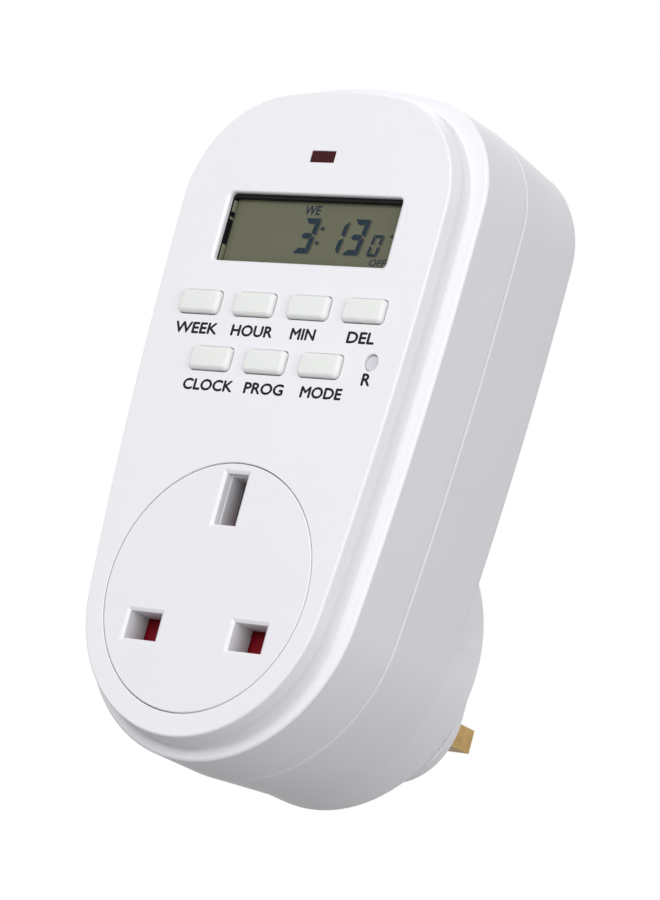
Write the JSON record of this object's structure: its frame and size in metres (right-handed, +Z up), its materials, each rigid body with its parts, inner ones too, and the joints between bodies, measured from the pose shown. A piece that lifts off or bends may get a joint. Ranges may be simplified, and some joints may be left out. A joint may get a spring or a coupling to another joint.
{
  "type": "plug-in timer switch",
  "caption": "Plug-in digital timer switch: tapered rounded housing with display, push keys and shuttered three-pin socket in front, three-pin plug behind.",
  "frame": {"origin": "on the flat plug base, midway between the live and neutral pins", "axes": "+Y out of the plug base, along the pins; +Z up, from the line pins to the earth pin and the display; +X across the width"},
  "size_m": [0.0624, 0.0652, 0.115],
  "materials": {
    "casing": "satin moulded",
    "insert": "satin moulded",
    "keys": "satin moulded",
    "button_grey": "satin moulded",
    "shutter_red": "satin moulded",
    "sleeve_black": "satin moulded",
    "black_plastic": "matt",
    "contact_nylon": "moulded nylon",
    "contact_brass": "stamped",
    "pin_brass": "machined",
    "spring_steel": "bright",
    "screw_steel": "zinc plated",
    "board": "glass-fibre laminate",
    "relay_case": "moulded",
    "film_box": "moulded",
    "capacitor_sleeve": "heat-shrunk sleeve",
    "varistor_blue": "dipped",
    "lcd_glass": "smooth, reflective display",
    "zebra_rubber": "striped silicone",
    "mat_rubber": "silicone",
    "red_lens": "tinted, clear",
    "led_epoxy": "tinted epoxy"
  },
  "bodies": {
    "housing": {"front_shell": "casing", "rear_shell": "casing", "socket_insert": "insert", "shutter_spring": "spring_steel", "contact_block": "contact_nylon", "contact_live": "contact_brass", "contact_neutral": "contact_brass", "contact_earth": "contact_brass", "pin_live": "pin_brass", "pin_neutral": "pin_brass", "pin_earth": "pin_brass", "sleeve_live": "sleeve_black", "sleeve_neutral": "sleeve_black", "busbar_live_in": "contact_brass", "busbar_live_out": "contact_brass", "busbar_neutral": "contact_brass", "busbar_earth": "contact_brass", "power_board": "board", "display_board": "board", "relay": "relay_case", "film_capacitor": "film_box", "smoothing_capacitor": "capacitor_sleeve", "varistor": "varistor_blue", "processor": "black_plastic", "backup_cell": "spring_steel", "crystal": "spring_steel", "board_link": "black_plastic", "lcd_panel": "lcd_glass", "lcd_frame": "black_plastic", "lcd_holder": "contact_nylon", "zebra_strip": "zebra_rubber", "led_lens": "red_lens", "led": "led_epoxy", "key_mat": "mat_rubber", "housing_screws": "screw_steel", "insert_screws": "screw_steel", "board_screws": "screw_steel", "power_board_screws": "screw_steel"},
    "shutter": {"shutter": "shutter_red"},
    "key_week": {"key_week": "keys"},
    "key_hour": {"key_hour": "keys"},
    "key_min": {"key_min": "keys"},
    "key_del": {"key_del": "keys"},
    "key_clock": {"key_clock": "keys"},
    "key_prog": {"key_prog": "keys"},
    "key_mode": {"key_mode": "keys"},
    "reset_button": {"reset_button": "button_grey"}
  },
  "joints": [
    {"name": "shutter_slide", "type": "slide", "parent": "housing", "child": "shutter", "axis": [0, 0, -1], "range_m": [0, 0.0052], "stiffness_N_per_m": 120, "springref_m": -0.002, "deforming": ["shutter_spring"]},
    {"name": "key_week_press", "type": "slide", "parent": "housing", "child": "key_week", "axis": [0, 1, 0], "range_m": [0, 0.0008], "stiffness_N_per_m": 500, "springref_m": -0.0003},
    {"name": "key_hour_press", "type": "slide", "parent": "housing", "child": "key_hour", "axis": [0, 1, 0], "range_m": [0, 0.0008], "stiffness_N_per_m": 500, "springref_m": -0.0003},
    {"name": "key_min_press", "type": "slide", "parent": "housing", "child": "key_min", "axis": [0, 1, 0], "range_m": [0, 0.0008], "stiffness_N_per_m": 500, "springref_m": -0.0003},
    {"name": "key_del_press", "type": "slide", "parent": "housing", "child": "key_del", "axis": [0, 1, 0], "range_m": [0, 0.0008], "stiffness_N_per_m": 500, "springref_m": -0.0003},
    {"name": "key_clock_press", "type": "slide", "parent": "housing", "child": "key_clock", "axis": [0, 1, 0], "range_m": [0, 0.0008], "stiffness_N_per_m": 500, "springref_m": -0.0003},
    {"name": "key_prog_press", "type": "slide", "parent": "housing", "child": "key_prog", "axis": [0, 1, 0], "range_m": [0, 0.0008], "stiffness_N_per_m": 500, "springref_m": -0.0003},
    {"name": "key_mode_press", "type": "slide", "parent": "housing", "child": "key_mode", "axis": [0, 1, 0], "range_m": [0, 0.0008], "stiffness_N_per_m": 500, "springref_m": -0.0003},
    {"name": "reset_press", "type": "slide", "parent": "housing", "child": "reset_button", "axis": [0, 1, 0], "range_m": [0, 0.0006], "stiffness_N_per_m": 500, "springref_m": -0.0003}
  ]
}
